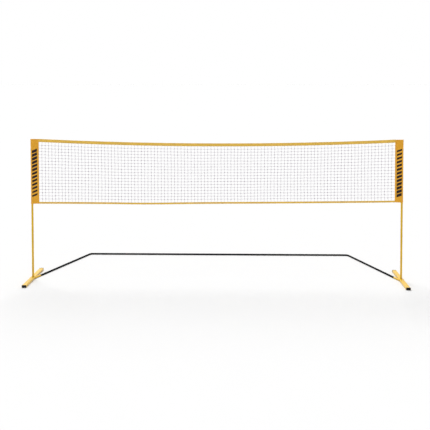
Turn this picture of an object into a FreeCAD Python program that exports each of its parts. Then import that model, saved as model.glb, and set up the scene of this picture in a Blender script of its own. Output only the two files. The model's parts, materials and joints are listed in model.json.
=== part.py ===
import FreeCAD, Part
import os
import math
import Sketcher
from FreeCAD import Placement, Rotation, Vector

# A free-standing sports net on two poles.  X runs along the net, +Y towards the rear bar, +Z up.
# The origin is on the floor, in the middle of the ground that the stand covers.  Millimetres.

doc = FreeCAD.newDocument("net_on_poles")
sheet = doc.addObject("Spreadsheet::Sheet", "Sizes")

DRIVING_SIZES = (
    ("net_span", 4050, "pole centre to pole centre"),
    ("net_height", 1550, "top corner of the net above the floor"),
    ("lowering", 635, "how far the poles telescope down"),
    # feet
    ("foot_length", 600, "foot bar without its end caps"),
    ("foot_width", 45, "foot bar section"),
    ("foot_rise", 24, "foot bar section"),
    ("foot_wall", 1.6, "foot bar wall"),
    ("foot_corner", 4, "outer corner radius of the section"),
    ("foot_lift", 1.5, "underside of the bar above the floor"),
    ("cap_lip", 1.5, "how far the end cap stands out round the bar"),
    ("cap_plate", 5, "thickness of the end cap outside the bar"),
    ("cap_edge", 1.5, "rounding of the end cap's outer edge"),
    ("cap_tongue", 20, "depth of the end cap inside the bar"),
    ("cap_wall", 2, "wall of that tongue"),
    ("cap_play", 0.1, "gap round the tongue"),
    # poles
    ("post_radius", 10, "post welded on the foot, inside the pole"),
    ("post_bore", 8, "bore radius of the post"),
    ("post_rise", 85, "height of the post above the bar"),
    ("post_bevel", 1.5, "lead-in at the top of the post"),
    ("lower_radius", 11, "lower pole"),
    ("lower_bore", 10.05, "bore radius of the lower pole"),
    ("lower_length", 850, "lower pole"),
    ("bush_bore", 9.05, "bore radius of the guide bush"),
    ("bush_depth", 24, "guide bush inside the lower pole"),
    ("bush_collar", 2, "collar of the guide bush on the tube's end"),
    ("upper_radius", 9, "upper pole"),
    ("upper_bore", 7.8, "bore radius of the upper pole"),
    ("landing_gap", 6.5, "left between the lowered upper pole and the post"),
    ("plug_depth", 14, "plastic plugs inside the upper pole"),
    ("plug_head", 3, "plastic plugs outside the upper pole"),
    # base tubes
    ("tube_radius", 9.5, "black base tubes"),
    ("tube_bore", 8.3, "bore radius of the base tubes"),
    ("swage_radius", 8.25, "reduced end that plugs into the next tube"),
    ("swage_bore", 7.05, "bore radius of the reduced end"),
    ("swage_length", 60, "reduced end"),
    ("swage_neck", 4, "thick neck inside the tube behind the shoulder"),
    ("edge_bevel", 0.8, "broken outer edge where two tubes meet"),
    ("side_angle", 67.5, "side tubes from the net line, degrees"),
    ("side_start", 20, "side tube's axis from the foot's middle line"),
    ("stub_reach", 92, "mouth of the stub from that start"),
    ("stub_root", 30, "blank of the stub behind that start, before it is cut flush with the foot"),
    ("corner_inset", 418, "rear corner inward of the pole"),
    ("bend_radius", 45, "centre line of the corner bend"),
    ("corner_side_leg", 330, "corner tube, side leg to the corner point"),
    ("corner_rear_leg", 480, "corner tube, rear leg to the corner point"),
    # spring buttons
    ("button_radius", 3.4, "stem of the button"),
    ("button_hole", 3.5, "hole radius in both tube walls"),
    ("button_from_end", 30, "button from the shoulder of the joint"),
    ("button_flange", 4.6, "radius of the flange that keeps it in"),
    ("flange_low", 3.9, "underside of the flange from the tube's axis"),
    ("flange_high", 5.1, "top of the flange from the tube's axis"),
    ("button_dome", 10.6, "where the dome starts, from the tube's axis"),
    ("button_top", 12, "top of the button from the tube's axis"),
    ("dome_shoulder", 2.7, "radius where the dome flattens"),
    ("dome_crown", 1.5, "radius of the flat crown"),
    ("crown_rise", 0.45, "height of the crown above the dome's shoulder"),
    ("spring_leaf", 0.6, "thickness of the spring strip"),
    ("spring_width", 6, "width of the spring strip"),
    ("spring_length", 32, "spring along the tube"),
    ("spring_drop", 10.1, "height of the open end of the spring"),
    ("spring_nose", 2.4, "height of the closed end of the spring"),
    # net
    ("left_sleeve_height", 715, "side sleeve"),
    ("right_sleeve_height", 686, "side sleeve, pulled up so that it is shorter"),
    ("sleeve_radius", 12.8, "round part of the sleeve over the pole"),
    ("sleeve_bore", 11.6, "room for the lower pole inside the sleeve"),
    ("sleeve_reach", 77, "free edge of the sleeve from the pole centre"),
    ("sleeve_pinch", 40, "where the two layers meet, from the pole centre"),
    ("sleeve_flap", 2.6, "thickness of the two layers"),
    ("sleeve_top", 2, "closed top of the sleeve"),
    ("top_tape_height", 33, "top tape"),
    ("bottom_tape_height", 19, "bottom tape"),
    ("tape_thickness", 2.6, "both tapes"),
    ("top_sag", 45, "top tape lower at mid span"),
    ("bottom_sag", 8, "bottom tape lower at mid span"),
    ("mesh_thickness", 1.5, "panel that stands for the netting, as thick as its twine"),
)

for row, (alias, number, note) in enumerate(DRIVING_SIZES, start=1):
    sheet.set("A%d" % row, alias)
    sheet.set("B%d" % row, str(number))
    sheet.set("C%d" % row, note)
    sheet.setAlias("B%d" % row, alias)
doc.recompute()


class Size:
    """A length that knows its number and the spreadsheet expression it comes from."""

    def __init__(self, number, text):
        self.number = float(number)
        self.text = text

    def __add__(self, other):
        other = as_size(other)
        return Size(self.number + other.number, "(%s + %s)" % (self.text, other.text))

    def __sub__(self, other):
        other = as_size(other)
        return Size(self.number - other.number, "(%s - %s)" % (self.text, other.text))

    def __mul__(self, other):
        other = as_size(other)
        return Size(self.number * other.number, "(%s * %s)" % (self.text, other.text))

    def __truediv__(self, other):
        other = as_size(other)
        return Size(self.number / other.number, "(%s / %s)" % (self.text, other.text))


def as_size(value):
    return value if isinstance(value, Size) else Size(value, repr(value))


def size(alias):
    return Size(sheet.get(alias), "Sizes." + alias)


def cosine(angle):
    return Size(math.cos(math.radians(angle.number)), "cos(%s * 1 deg)" % angle.text)


def sine(angle):
    return Size(math.sin(math.radians(angle.number)), "sin(%s * 1 deg)" % angle.text)


def tangent(angle):
    return Size(math.tan(math.radians(angle.number)), "tan(%s * 1 deg)" % angle.text)


ZERO = Size(0, "0")
UP = Vector(0, 0, 1)

# Places worked out from the driving sizes.
half_span = size("net_span") / 2
tube_level = size("tube_radius")
side_length = (size("corner_inset") - size("side_start")) / cosine(size("side_angle"))
rear_offset = side_length * sine(size("side_angle"))
foot_reach = size("foot_length") / 2 + size("cap_plate")
net_line = (foot_reach - rear_offset - size("button_top")) / 2
rear_line = net_line + rear_offset
foot_top = size("foot_lift") + size("foot_rise")
upper_foot = foot_top + size("post_rise") + size("landing_gap") + size("lowering")
panel_half = half_span - size("sleeve_reach")
rear_joint = half_span - size("corner_inset") - size("corner_rear_leg")
rear_tube_length = rear_joint * 2 / 3
side_tube_length = side_length - size("corner_side_leg") - size("stub_reach")

sub_parts = []


def bind(thing, name, length):
    thing.setExpression(name, length.text)


def place(thing, x, y, z, axis=UP, angle=0):
    thing.Placement = Placement(Vector(x.number, y.number, z.number), Rotation(axis, angle))
    bind(thing, ".Placement.Base.x", x)
    bind(thing, ".Placement.Base.y", y)
    bind(thing, ".Placement.Base.z", z)


def lay(thing, x, y, z, heading):
    """Lay a piece turned about its own Z down flat, with its Z along the heading from +X."""
    place(thing, x, y, z, Vector(-sine(heading).number, cosine(heading).number, 0), 90)
    bind(thing, ".Placement.Rotation.Axis.x", sine(heading) * -1)
    bind(thing, ".Placement.Rotation.Axis.y", cosine(heading))


def turned_over(thing, x, y, z, turn):
    """Turn a flat piece upside down about its own Y, and then about Z."""
    half = turn / 2
    place(thing, x, y, z, Vector(-sine(half).number, cosine(half).number, 0), 180)
    bind(thing, ".Placement.Rotation.Axis.x", sine(half) * -1)
    bind(thing, ".Placement.Rotation.Axis.y", cosine(half))


def finished(thing, label):
    thing.Label = label
    sub_parts.append(thing)
    return thing


def new_body(name):
    return doc.addObject("PartDesign::Body", name)


def new_sketch(body, plane_role):
    sketch = body.newObject("Sketcher::SketchObject", body.Name + "_sketch")
    plane = [f for f in body.Origin.OriginFeatures if f.Role == plane_role][0]
    sketch.AttachmentSupport = [(plane, "")]
    sketch.MapMode = "FlatFace"
    return sketch


def dimension(sketch, length, kind, *where):
    index = sketch.addConstraint(Sketcher.Constraint(kind, *where, length.number))
    sketch.setExpression("Constraints[%d]" % index, length.text)


def pin(sketch, edge, end, x, y):
    """Hold one end of an edge at a place measured from the sketch's origin."""
    for kind, axis, length in (("DistanceX", -2, x), ("DistanceY", -1, y)):
        if length is ZERO:
            sketch.addConstraint(Sketcher.Constraint("PointOnObject", edge, end, axis))
        else:
            dimension(sketch, length, kind, -1, 1, edge, end)


def outline(sketch, corners):
    """A closed outline of straight edges through the corners."""
    first = sketch.GeometryCount
    count = len(corners)
    for i, (x, y) in enumerate(corners):
        next_x, next_y = corners[(i + 1) % count]
        start = Vector(x.number, y.number, 0)
        sketch.addGeometry(Part.LineSegment(start, Vector(next_x.number, next_y.number, 0)))
    for i, (x, y) in enumerate(corners):
        following = first + (i + 1) % count
        sketch.addConstraint(Sketcher.Constraint("Coincident", first + i, 2, following, 1))
        pin(sketch, first + i, 1, x, y)


def circle(sketch, radius):
    edge = sketch.addGeometry(Part.Circle(Vector(0, 0, 0), UP, radius.number))
    sketch.addConstraint(Sketcher.Constraint("Coincident", edge, 3, -1, 1))
    dimension(sketch, radius, "Radius", edge)


def rounded_rectangle(sketch, width, height, radius):
    """A rectangle with round corners, centred on the sketch's origin."""
    first = sketch.GeometryCount
    half_w, half_h, r = width.number / 2, height.number / 2, radius.number
    turns = ((1, -1, -90), (1, 1, 0), (-1, 1, 90), (-1, -1, 180))
    for sx, sy, start in turns:
        centre = Vector(sx * (half_w - r), sy * (half_h - r), 0)
        begin = math.radians(start)
        sketch.addGeometry(
            Part.ArcOfCircle(Part.Circle(centre, UP, r), begin, begin + math.pi / 2)
        )
    for i in range(4):
        arc_end = sketch.getPoint(first + i, 2)
        next_start = sketch.getPoint(first + (i + 1) % 4, 1)
        sketch.addGeometry(Part.LineSegment(arc_end, next_start))
    for i in range(4):
        line = first + 4 + i
        sketch.addConstraint(Sketcher.Constraint("Tangent", first + i, 2, line, 1))
        sketch.addConstraint(Sketcher.Constraint("Tangent", line, 2, first + (i + 1) % 4, 1))
        direction = "Vertical" if i % 2 == 0 else "Horizontal"
        sketch.addConstraint(Sketcher.Constraint(direction, line))
        if i:
            sketch.addConstraint(Sketcher.Constraint("Equal", first, first + i))
    sketch.addConstraint(Sketcher.Constraint("Symmetric", first + 4, 1, first + 6, 1, -1, 1))
    dimension(sketch, radius, "Radius", first)
    dimension(sketch, width, "DistanceX", first + 6, 1, first + 4, 1)
    dimension(sketch, height, "DistanceY", first + 7, 1, first + 5, 1)


def pad(body, sketch, length, midplane=False, reverse=False):
    feature = body.newObject("PartDesign::Pad", body.Name + "_pad")
    feature.Profile = sketch
    feature.SideType = "Symmetric" if midplane else "One side"
    feature.Reversed = reverse
    bind(feature, "Length", length)
    sketch.Visibility = False
    return feature


def turned(name, profile):
    """A body turned about its own Z axis from corners given as (radius, height)."""
    body = new_body(name)
    sketch = new_sketch(body, "XZ_Plane")
    outline(sketch, profile)
    feature = body.newObject("PartDesign::Revolution", name + "_turned")
    feature.Profile = sketch
    feature.ReferenceAxis = (sketch, ["V_Axis"])
    feature.Angle = 360
    return body


def ring(bore, radius, low, high):
    return [(bore, low), (radius, low), (radius, high), (bore, high)]


def drilled(blank, x, y, z, angle_about_x, label):
    """Cut the spring button's hole through one wall of a tube lying along X."""
    drill = doc.addObject("Part::Cylinder", label + "_drill")
    bind(drill, "Radius", size("button_hole"))
    bind(drill, "Height", size("button_top"))
    place(drill, x, y, z, Vector(1, 0, 0), angle_about_x)
    cut = doc.addObject("Part::Cut", label + "_drilled")
    cut.Base = blank
    cut.Tool = drill
    return finished(cut, label)


def foot_bar(side, x):
    body = new_body(side + "_foot_bar_body")
    sketch = new_sketch(body, "XZ_Plane")
    wall = size("foot_wall")
    rounded_rectangle(sketch, size("foot_width"), size("foot_rise"), size("foot_corner"))
    inner_width = size("foot_width") - wall * 2
    inner_rise = size("foot_rise") - wall * 2
    rounded_rectangle(sketch, inner_width, inner_rise, size("foot_corner") - wall)
    pad(body, sketch, size("foot_length"), midplane=True)
    place(body, x, net_line, size("foot_lift") + size("foot_rise") / 2)
    finished(body, side + "_foot_bar")


def end_cap(side, end, x, facing):
    """A plastic plug: a plate outside the bar with rounded edges, a hollow tongue inside it."""
    body = new_body("%s_foot_%s_cap_body" % (side, end))
    plate = new_sketch(body, "XZ_Plane")
    lip = size("cap_lip")
    width = size("foot_width") + lip * 2
    rise = size("foot_rise") + lip * 2
    rounded_rectangle(plate, width, rise, size("foot_corner") + lip)
    pad(body, plate, size("cap_plate"))
    tongue = new_sketch(body, "XZ_Plane")
    inset = (size("foot_wall") + size("cap_play")) * 2
    tongue_width = size("foot_width") - inset
    tongue_rise = size("foot_rise") - inset
    corner = size("foot_corner") - inset / 2
    rounded_rectangle(tongue, tongue_width, tongue_rise, corner)
    wall = size("cap_wall")
    rounded_rectangle(tongue, tongue_width - wall * 2, tongue_rise - wall * 2, corner / 2)
    solid = pad(body, tongue, size("cap_tongue"), reverse=True)
    doc.recompute()
    rounding = body.newObject("PartDesign::Fillet", body.Name + "_edge")
    outer_face = min(range(len(solid.Shape.Faces)), key=lambda i: solid.Shape.Faces[i].CenterOfMass.y)
    rounding.Base = (solid, ["Face%d" % (outer_face + 1)])
    bind(rounding, "Radius", size("cap_edge"))
    half_length = size("foot_length") / 2
    y = net_line + half_length * facing
    turn = 180 if facing > 0 else 0
    place(body, x, y, size("foot_lift") + size("foot_rise") / 2, UP, turn)
    finished(body, "%s_foot_%s_cap" % (side, end))


def pole_post(side, x):
    radius, bore, rise = size("post_radius"), size("post_bore"), size("post_rise")
    bevel = size("post_bevel")
    profile = [
        (bore, ZERO),
        (radius, ZERO),
        (radius, rise - bevel),
        (radius - bevel, rise),
        (bore, rise),
    ]
    body = turned(side + "_pole_post_body", profile)
    place(body, x, net_line, foot_top)
    finished(body, side + "_pole_post")


def stub_socket(side, x, inward):
    """A tube stub welded on the foot's inner side and cut off flush with that side."""
    bore, radius, reach = size("tube_bore"), size("tube_radius"), size("stub_reach")
    bevel, root = size("edge_bevel"), size("stub_root") * -1
    profile = [
        (bore, root),
        (radius, root),
        (radius, reach - bevel),
        (radius - bevel, reach),
        (bore, reach),
    ]
    tube = turned(side + "_stub_tube", profile)
    start = x + size("side_start") * inward
    lay(tube, start, net_line, tube_level, side_heading(inward))
    trim = doc.addObject("Part::Box", side + "_stub_trim")
    bind(trim, "Length", size("foot_width"))
    bind(trim, "Width", size("foot_width") * 2)
    bind(trim, "Height", size("foot_width"))
    place(trim, x - size("foot_width") / 2, net_line - size("foot_width"), ZERO)
    cut = doc.addObject("Part::Cut", side + "_stub_cut")
    cut.Base = tube
    cut.Tool = trim
    finished(cut, side + "_stub_socket")


def side_heading(inward):
    """Heading of a side tube from its foot to the rear, in degrees from +X."""
    angle = size("side_angle")
    return angle if inward > 0 else as_size(180) - angle


def along_side(x, inward, distance):
    """The point that far along a side tube's axis from its start at the foot."""
    heading = side_heading(inward)
    start = x + size("side_start") * inward
    return start + cosine(heading) * distance, net_line + sine(heading) * distance


def plug_in_profile(length):
    """A tube with a plain open end at the bottom and a reduced end above its shoulder."""
    radius, bore = size("tube_radius"), size("tube_bore")
    swage, swage_bore = size("swage_radius"), size("swage_bore")
    neck, reach = size("swage_neck"), size("swage_length")
    bevel = size("edge_bevel")
    return [
        (bore, ZERO),
        (radius - bevel, ZERO),
        (radius, bevel),
        (radius, length - bevel),
        (radius - bevel, length),
        (swage, length),
        (swage, length + reach),
        (swage_bore, length + reach),
        (swage_bore, length - neck),
        (bore, length - neck * 2),
    ]


def side_tube(side, x, inward):
    body = turned(side + "_side_tube_body", plug_in_profile(side_tube_length))
    far_x, far_y = along_side(x, inward, side_length - size("corner_side_leg"))
    lay(body, far_x, far_y, tube_level, side_heading(inward) - 180)
    finished(body, side + "_side_tube")


def corner_tube(side, x, inward):
    """One bent tube: a reduced end, the side leg, the bend and the rear leg with its open end."""
    body = new_body(side + "_corner_tube_body")
    bend = size("side_angle")
    setback = size("bend_radius") * tangent(bend / 2)
    straight = size("corner_side_leg") - setback
    rear_straight = size("corner_rear_leg") - setback
    radius = size("bend_radius")

    route = new_sketch(body, "XY_Plane")
    bend_end_x = radius * (as_size(1) - cosine(bend))
    bend_end_y = straight + radius * sine(bend)
    end_x = bend_end_x + sine(bend) * rear_straight
    end_y = bend_end_y + cosine(bend) * rear_straight
    middle = math.radians(bend.number / 2)
    on_bend = Vector(
        radius.number * (1 - math.cos(middle)), straight.number + radius.number * math.sin(middle), 0
    )
    corner_start = Vector(0, straight.number, 0)
    corner_end = Vector(bend_end_x.number, bend_end_y.number, 0)
    route.addGeometry(Part.LineSegment(Vector(0, 0, 0), corner_start))
    route.addGeometry(Part.Arc(corner_start, on_bend, corner_end))
    route.addGeometry(Part.LineSegment(corner_end, Vector(end_x.number, end_y.number, 0)))
    arc_first = 1 if (route.getPoint(1, 1) - corner_start).Length < 1e-6 else 2
    route.addConstraint(Sketcher.Constraint("Coincident", 0, 1, -1, 1))
    route.addConstraint(Sketcher.Constraint("PointOnObject", 0, 2, -2))
    route.addConstraint(Sketcher.Constraint("Tangent", 0, 2, 1, arc_first))
    route.addConstraint(Sketcher.Constraint("Tangent", 1, 3 - arc_first, 2, 1))
    dimension(route, straight, "DistanceY", -1, 1, 0, 2)
    dimension(route, radius, "Radius", 1)
    pin(route, 2, 2, end_x, end_y)

    section = new_sketch(body, "XZ_Plane")
    circle(section, size("tube_radius"))
    circle(section, size("tube_bore"))
    pipe = body.newObject("PartDesign::AdditivePipe", side + "_corner_pipe")
    pipe.Profile = section
    pipe.Spine = (route, [])
    shoulder = new_sketch(body, "XZ_Plane")
    circle(shoulder, size("tube_radius"))
    circle(shoulder, size("swage_bore"))
    pad(body, shoulder, size("swage_neck"), reverse=True)
    reduced = new_sketch(body, "XZ_Plane")
    circle(reduced, size("swage_radius"))
    circle(reduced, size("swage_bore"))
    pad(body, reduced, size("swage_length"))

    far_x, far_y = along_side(x, inward, side_length - size("corner_side_leg"))
    turn = side_heading(inward) - 90
    if inward > 0:
        place(body, far_x, far_y, tube_level, UP, turn.number)
        bind(body, ".Placement.Rotation.Angle", turn)
    else:
        turned_over(body, far_x, far_y, tube_level, turn)
    hole_x = (rear_joint + size("button_from_end")) * -inward
    drilled(body, hole_x, rear_line, tube_level, 90 * inward, side + "_corner_tube")


def outer_rear_tube(side, inward):
    """A rear tube whose reduced end plugs into the corner tube, held by a spring button."""
    body = turned(side + "_rear_tube_body", plug_in_profile(rear_tube_length))
    inner_end = (rear_tube_length / 2) * -inward
    heading = as_size(180 if inward > 0 else 0)
    lay(body, inner_end, rear_line, tube_level, heading)
    hole_x = (rear_joint + size("button_from_end")) * -inward
    drilled(body, hole_x, rear_line, tube_level, 90 * inward, side + "_rear_tube")


def centre_rear_tube():
    """The middle rear tube, reduced at both ends."""
    radius, bore = size("tube_radius"), size("tube_bore")
    swage, swage_bore = size("swage_radius"), size("swage_bore")
    neck, reach = size("swage_neck"), size("swage_length")
    bevel = size("edge_bevel")
    low = reach
    high = reach + rear_tube_length
    profile = [
        (swage_bore, ZERO),
        (swage, ZERO),
        (swage, low),
        (radius - bevel, low),
        (radius, low + bevel),
        (radius, high - bevel),
        (radius - bevel, high),
        (swage, high),
        (swage, high + reach),
        (swage_bore, high + reach),
        (swage_bore, high - neck),
        (bore, high - neck * 2),
        (bore, low + neck * 2),
        (swage_bore, low + neck),
    ]
    body = turned("centre_rear_tube_body", profile)
    lay(body, rear_tube_length / -2 - reach, rear_line, tube_level, ZERO)
    finished(body, "centre_rear_tube")


def snap_button(side, inward):
    """A domed button with a flange inside the reduced tube, pointing out through both walls."""
    profile = [
        (ZERO, size("flange_low")),
        (size("button_flange"), size("flange_low")),
        (size("button_flange"), size("flange_high")),
        (size("button_radius"), size("flange_high")),
        (size("button_radius"), size("button_dome")),
        (size("dome_shoulder"), size("button_top") - size("crown_rise")),
        (size("dome_crown"), size("button_top")),
        (ZERO, size("button_top")),
    ]
    body = turned(side + "_snap_button_body", profile)
    hole_x = (rear_joint + size("button_from_end")) * -inward
    place(body, hole_x, rear_line, tube_level, Vector(1, 0, 0), 90 * inward)
    finished(body, side + "_snap_button")


def snap_spring(side, inward):
    """A strip bent to a V: one leg under the button, the other on the tube's far wall."""
    body = new_body(side + "_snap_spring_body")
    sketch = new_sketch(body, "XZ_Plane")
    leaf, reach = size("spring_leaf"), size("spring_length")
    drop, nose = size("spring_drop"), size("spring_nose")
    middle = drop / 2
    outline(
        sketch,
        [
            (ZERO, ZERO),
            (reach, middle - nose / 2),
            (reach + leaf * 2, middle),
            (reach, middle + nose / 2),
            (ZERO, drop),
            (ZERO, drop - leaf),
            (reach - leaf, middle + nose / 2 - leaf),
            (reach + leaf, middle),
            (reach - leaf, middle - nose / 2 + leaf),
            (ZERO, leaf),
        ],
    )
    pad(body, sketch, size("spring_width"), midplane=True)
    button_x = rear_joint + size("button_from_end")
    tip = (button_x + size("button_flange")) * -inward
    level_y = rear_line + (drop - size("flange_low")) * inward
    axis = Vector(1, 0, 0)
    turn = Rotation(axis, 90 * inward)
    if inward < 0:
        turn = turn * Rotation(UP, 180)
    place(body, tip, level_y, tube_level, turn.Axis, math.degrees(turn.Angle))
    finished(body, side + "_snap_spring")


def lower_pole(side, x):
    profile = ring(size("lower_bore"), size("lower_radius"), ZERO, size("lower_length"))
    body = turned(side + "_lower_pole_body", profile)
    place(body, x, net_line, foot_top)
    finished(body, side + "_lower_pole")


def pole_bush(side, x):
    """The plastic guide bush in the lower pole's mouth that the upper pole slides through."""
    depth, collar = size("bush_depth"), size("bush_collar")
    profile = [
        (size("bush_bore"), ZERO),
        (size("lower_bore"), ZERO),
        (size("lower_bore"), depth),
        (size("lower_radius"), depth),
        (size("lower_radius"), depth + collar),
        (size("bush_bore"), depth + collar),
    ]
    body = turned(side + "_pole_bush_body", profile)
    place(body, x, net_line, foot_top + size("lower_length") - depth)
    finished(body, side + "_pole_bush")


def upper_pole(side, x):
    top = size("net_height") - size("sleeve_top") - size("plug_head")
    length = top - upper_foot
    profile = ring(size("upper_bore"), size("upper_radius"), ZERO, length)
    body = turned(side + "_upper_pole_body", profile)
    place(body, x, net_line, upper_foot)
    finished(body, side + "_upper_pole")


def pole_plug(side, end, x):
    """A plastic plug with a bevelled head outside the tube's end."""
    head, depth = size("plug_head"), size("plug_depth")
    bevel = head / 2
    profile = [
        (ZERO, ZERO),
        (size("upper_bore"), ZERO),
        (size("upper_bore"), depth),
        (size("upper_radius"), depth),
        (size("upper_radius"), depth + head - bevel),
        (size("upper_radius") - bevel, depth + head),
        (ZERO, depth + head),
    ]
    body = turned("%s_pole_%s_plug_body" % (side, end), profile)
    if end == "top":
        tube_end = size("net_height") - size("sleeve_top") - head
        place(body, x, net_line, tube_end - depth)
    else:
        place(body, x, net_line, upper_foot + depth, Vector(1, 0, 0), 180)
    finished(body, "%s_pole_%s_plug" % (side, end))


def sleeve(side, x, inward):
    """A fabric pocket over the pole: round at the pole, pinched flat towards the netting."""
    body = new_body(side + "_sleeve_body")
    sketch = new_sketch(body, "XY_Plane")
    radius, half_flap = size("sleeve_radius"), size("sleeve_flap") / 2
    pinch, reach = size("sleeve_pinch"), size("sleeve_reach")
    contact = math.acos(radius.number / pinch.number)
    arc = Part.ArcOfCircle(
        Part.Circle(Vector(0, 0, 0), UP, radius.number), contact, 2 * math.pi - contact
    )
    sketch.addGeometry(arc)
    corners = [
        (pinch.number, -half_flap.number),
        (reach.number, -half_flap.number),
        (reach.number, half_flap.number),
        (pinch.number, half_flap.number),
    ]
    points = [sketch.getPoint(0, 2)] + [Vector(a, b, 0) for a, b in corners]
    points.append(sketch.getPoint(0, 1))
    for start, stop in zip(points, points[1:]):
        sketch.addGeometry(Part.LineSegment(start, stop))
    sketch.addConstraint(Sketcher.Constraint("Coincident", 0, 3, -1, 1))
    dimension(sketch, radius, "Radius", 0)
    sketch.addConstraint(Sketcher.Constraint("Tangent", 0, 2, 1, 1))
    sketch.addConstraint(Sketcher.Constraint("Tangent", 5, 2, 0, 1))
    for edge in (1, 2, 3, 4):
        sketch.addConstraint(Sketcher.Constraint("Coincident", edge, 2, edge + 1, 1))
    pin(sketch, 2, 1, pinch, half_flap * -1)
    pin(sketch, 3, 1, reach, half_flap * -1)
    pin(sketch, 4, 1, reach, half_flap)
    pin(sketch, 5, 1, pinch, half_flap)
    height = size(side + "_sleeve_height")
    low = size("net_height") - height
    pad(body, sketch, height)
    turn = 0 if inward > 0 else 180
    place(body, x, net_line, low, UP, turn)
    room = doc.addObject("Part::Cylinder", side + "_sleeve_room")
    bind(room, "Radius", size("sleeve_bore"))
    bind(room, "Height", height - size("sleeve_top"))
    place(room, x, net_line, low)
    cut = doc.addObject("Part::Cut", side + "_sleeve_open")
    cut.Base = body
    cut.Tool = room
    finished(cut, side + "_sleeve")


def hanging_edge(sketch, left_level, right_level, sag):
    """An arc from side to side of the net between two levels that sags at mid span."""
    radius = panel_half * panel_half / (sag * 2) + sag / 2
    left = Vector(-panel_half.number, left_level.number, 0)
    right = Vector(panel_half.number, right_level.number, 0)
    middle = Vector(0, (left.y + right.y) / 2 - sag.number, 0)
    edge = sketch.addGeometry(Part.Arc(left, middle, right))
    first = 1 if sketch.getPoint(edge, 1).x < 0 else 2
    pin(sketch, edge, first, panel_half * -1, left_level)
    pin(sketch, edge, 3 - first, panel_half, right_level)
    dimension(sketch, radius, "Radius", edge)
    return edge, first


def net_panel(name, thickness, upper_edge, lower_edge):
    """A flat panel between the sleeves; an edge is its left level, right level and sag."""
    body = new_body(name + "_body")
    sketch = new_sketch(body, "XZ_Plane")
    top, top_left = hanging_edge(sketch, *upper_edge)
    low, low_left = hanging_edge(sketch, *lower_edge)
    for top_end, low_end in ((top_left, low_left), (3 - top_left, 3 - low_left)):
        upper, lower = sketch.getPoint(top, top_end), sketch.getPoint(low, low_end)
        edge = sketch.addGeometry(Part.LineSegment(upper, lower))
        sketch.addConstraint(Sketcher.Constraint("Coincident", edge, 1, top, top_end))
        sketch.addConstraint(Sketcher.Constraint("Coincident", edge, 2, low, low_end))
    pad(body, sketch, thickness, midplane=True)
    place(body, ZERO, net_line, ZERO)
    finished(body, name)


def net_panels():
    """Top tape, netting and bottom tape, which meet along shared hanging edges."""
    tape_top = size("net_height")
    mesh_top = tape_top - size("top_tape_height")
    left_low = tape_top - size("left_sleeve_height")
    right_low = tape_top - size("right_sleeve_height")
    hem = size("bottom_tape_height")
    top_line = (tape_top, tape_top, size("top_sag"))
    under_top_tape = (mesh_top, mesh_top, size("top_sag"))
    over_bottom_tape = (left_low + hem, right_low + hem, size("bottom_sag"))
    bottom_line = (left_low, right_low, size("bottom_sag"))
    net_panel("top_tape", size("tape_thickness"), top_line, under_top_tape)
    net_panel("netting", size("mesh_thickness"), under_top_tape, over_bottom_tape)
    net_panel("bottom_tape", size("tape_thickness"), over_bottom_tape, bottom_line)


def build_side(side, inward):
    """All the pieces of one side; inward is +1 on the left, where the net lies towards +X."""
    x = half_span * -inward
    foot_bar(side, x)
    end_cap(side, "front", x, -1)
    end_cap(side, "rear", x, 1)
    pole_post(side, x)
    stub_socket(side, x, inward)
    side_tube(side, x, inward)
    corner_tube(side, x, inward)
    outer_rear_tube(side, inward)
    snap_button(side, inward)
    snap_spring(side, inward)
    lower_pole(side, x)
    pole_bush(side, x)
    upper_pole(side, x)
    pole_plug(side, "top", x)
    pole_plug(side, "bottom", x)
    sleeve(side, x, inward)


build_side("left", 1)
build_side("right", -1)
centre_rear_tube()
net_panels()
doc.recompute()

for thing in doc.Objects:
    if "Invalid" in thing.State or "Error" in thing.State:
        raise RuntimeError("%s did not recompute: %s" % (thing.Name, thing.State))
for thing in sub_parts:
    if thing.Shape.isNull() or not thing.Shape.isValid() or thing.Shape.Volume <= 0:
        raise RuntimeError("%s has no valid solid" % thing.Label)

os.makedirs("parts", exist_ok=True)
for thing in sub_parts:
    thing.Shape.exportStep("parts/%s.step" % thing.Label)
    print("%-24s %2d solid %10.1f mm3" % (thing.Label, len(thing.Shape.Solids), thing.Shape.Volume))
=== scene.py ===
import json
import math
import bpy
import numpy as np
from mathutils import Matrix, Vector, noise


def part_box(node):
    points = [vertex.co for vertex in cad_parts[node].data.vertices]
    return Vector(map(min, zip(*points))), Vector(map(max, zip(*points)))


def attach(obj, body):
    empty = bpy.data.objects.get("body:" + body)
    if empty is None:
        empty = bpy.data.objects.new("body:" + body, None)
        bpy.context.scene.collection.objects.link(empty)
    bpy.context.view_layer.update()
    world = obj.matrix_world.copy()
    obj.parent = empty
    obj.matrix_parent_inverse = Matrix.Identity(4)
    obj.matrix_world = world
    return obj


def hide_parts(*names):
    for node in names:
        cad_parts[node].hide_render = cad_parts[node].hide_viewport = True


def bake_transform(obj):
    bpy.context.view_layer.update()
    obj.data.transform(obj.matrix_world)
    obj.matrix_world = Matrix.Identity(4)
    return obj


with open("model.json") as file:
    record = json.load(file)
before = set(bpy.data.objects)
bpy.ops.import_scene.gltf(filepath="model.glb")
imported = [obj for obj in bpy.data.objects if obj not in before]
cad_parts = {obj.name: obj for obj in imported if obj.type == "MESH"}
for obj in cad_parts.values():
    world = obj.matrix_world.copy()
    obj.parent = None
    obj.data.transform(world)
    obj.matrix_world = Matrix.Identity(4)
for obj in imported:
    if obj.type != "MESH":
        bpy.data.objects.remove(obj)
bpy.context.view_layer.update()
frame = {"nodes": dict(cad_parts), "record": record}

# A free-standing sports net on two poles, in metres.  X runs along the net, +Y towards the rear
# bar, +Z up.  Noise scales are per metre, and bump distances are in metres.


def middle(node):
    """The middle of a CAD node's box."""
    low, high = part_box(node)
    return (low + high) / 2


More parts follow.
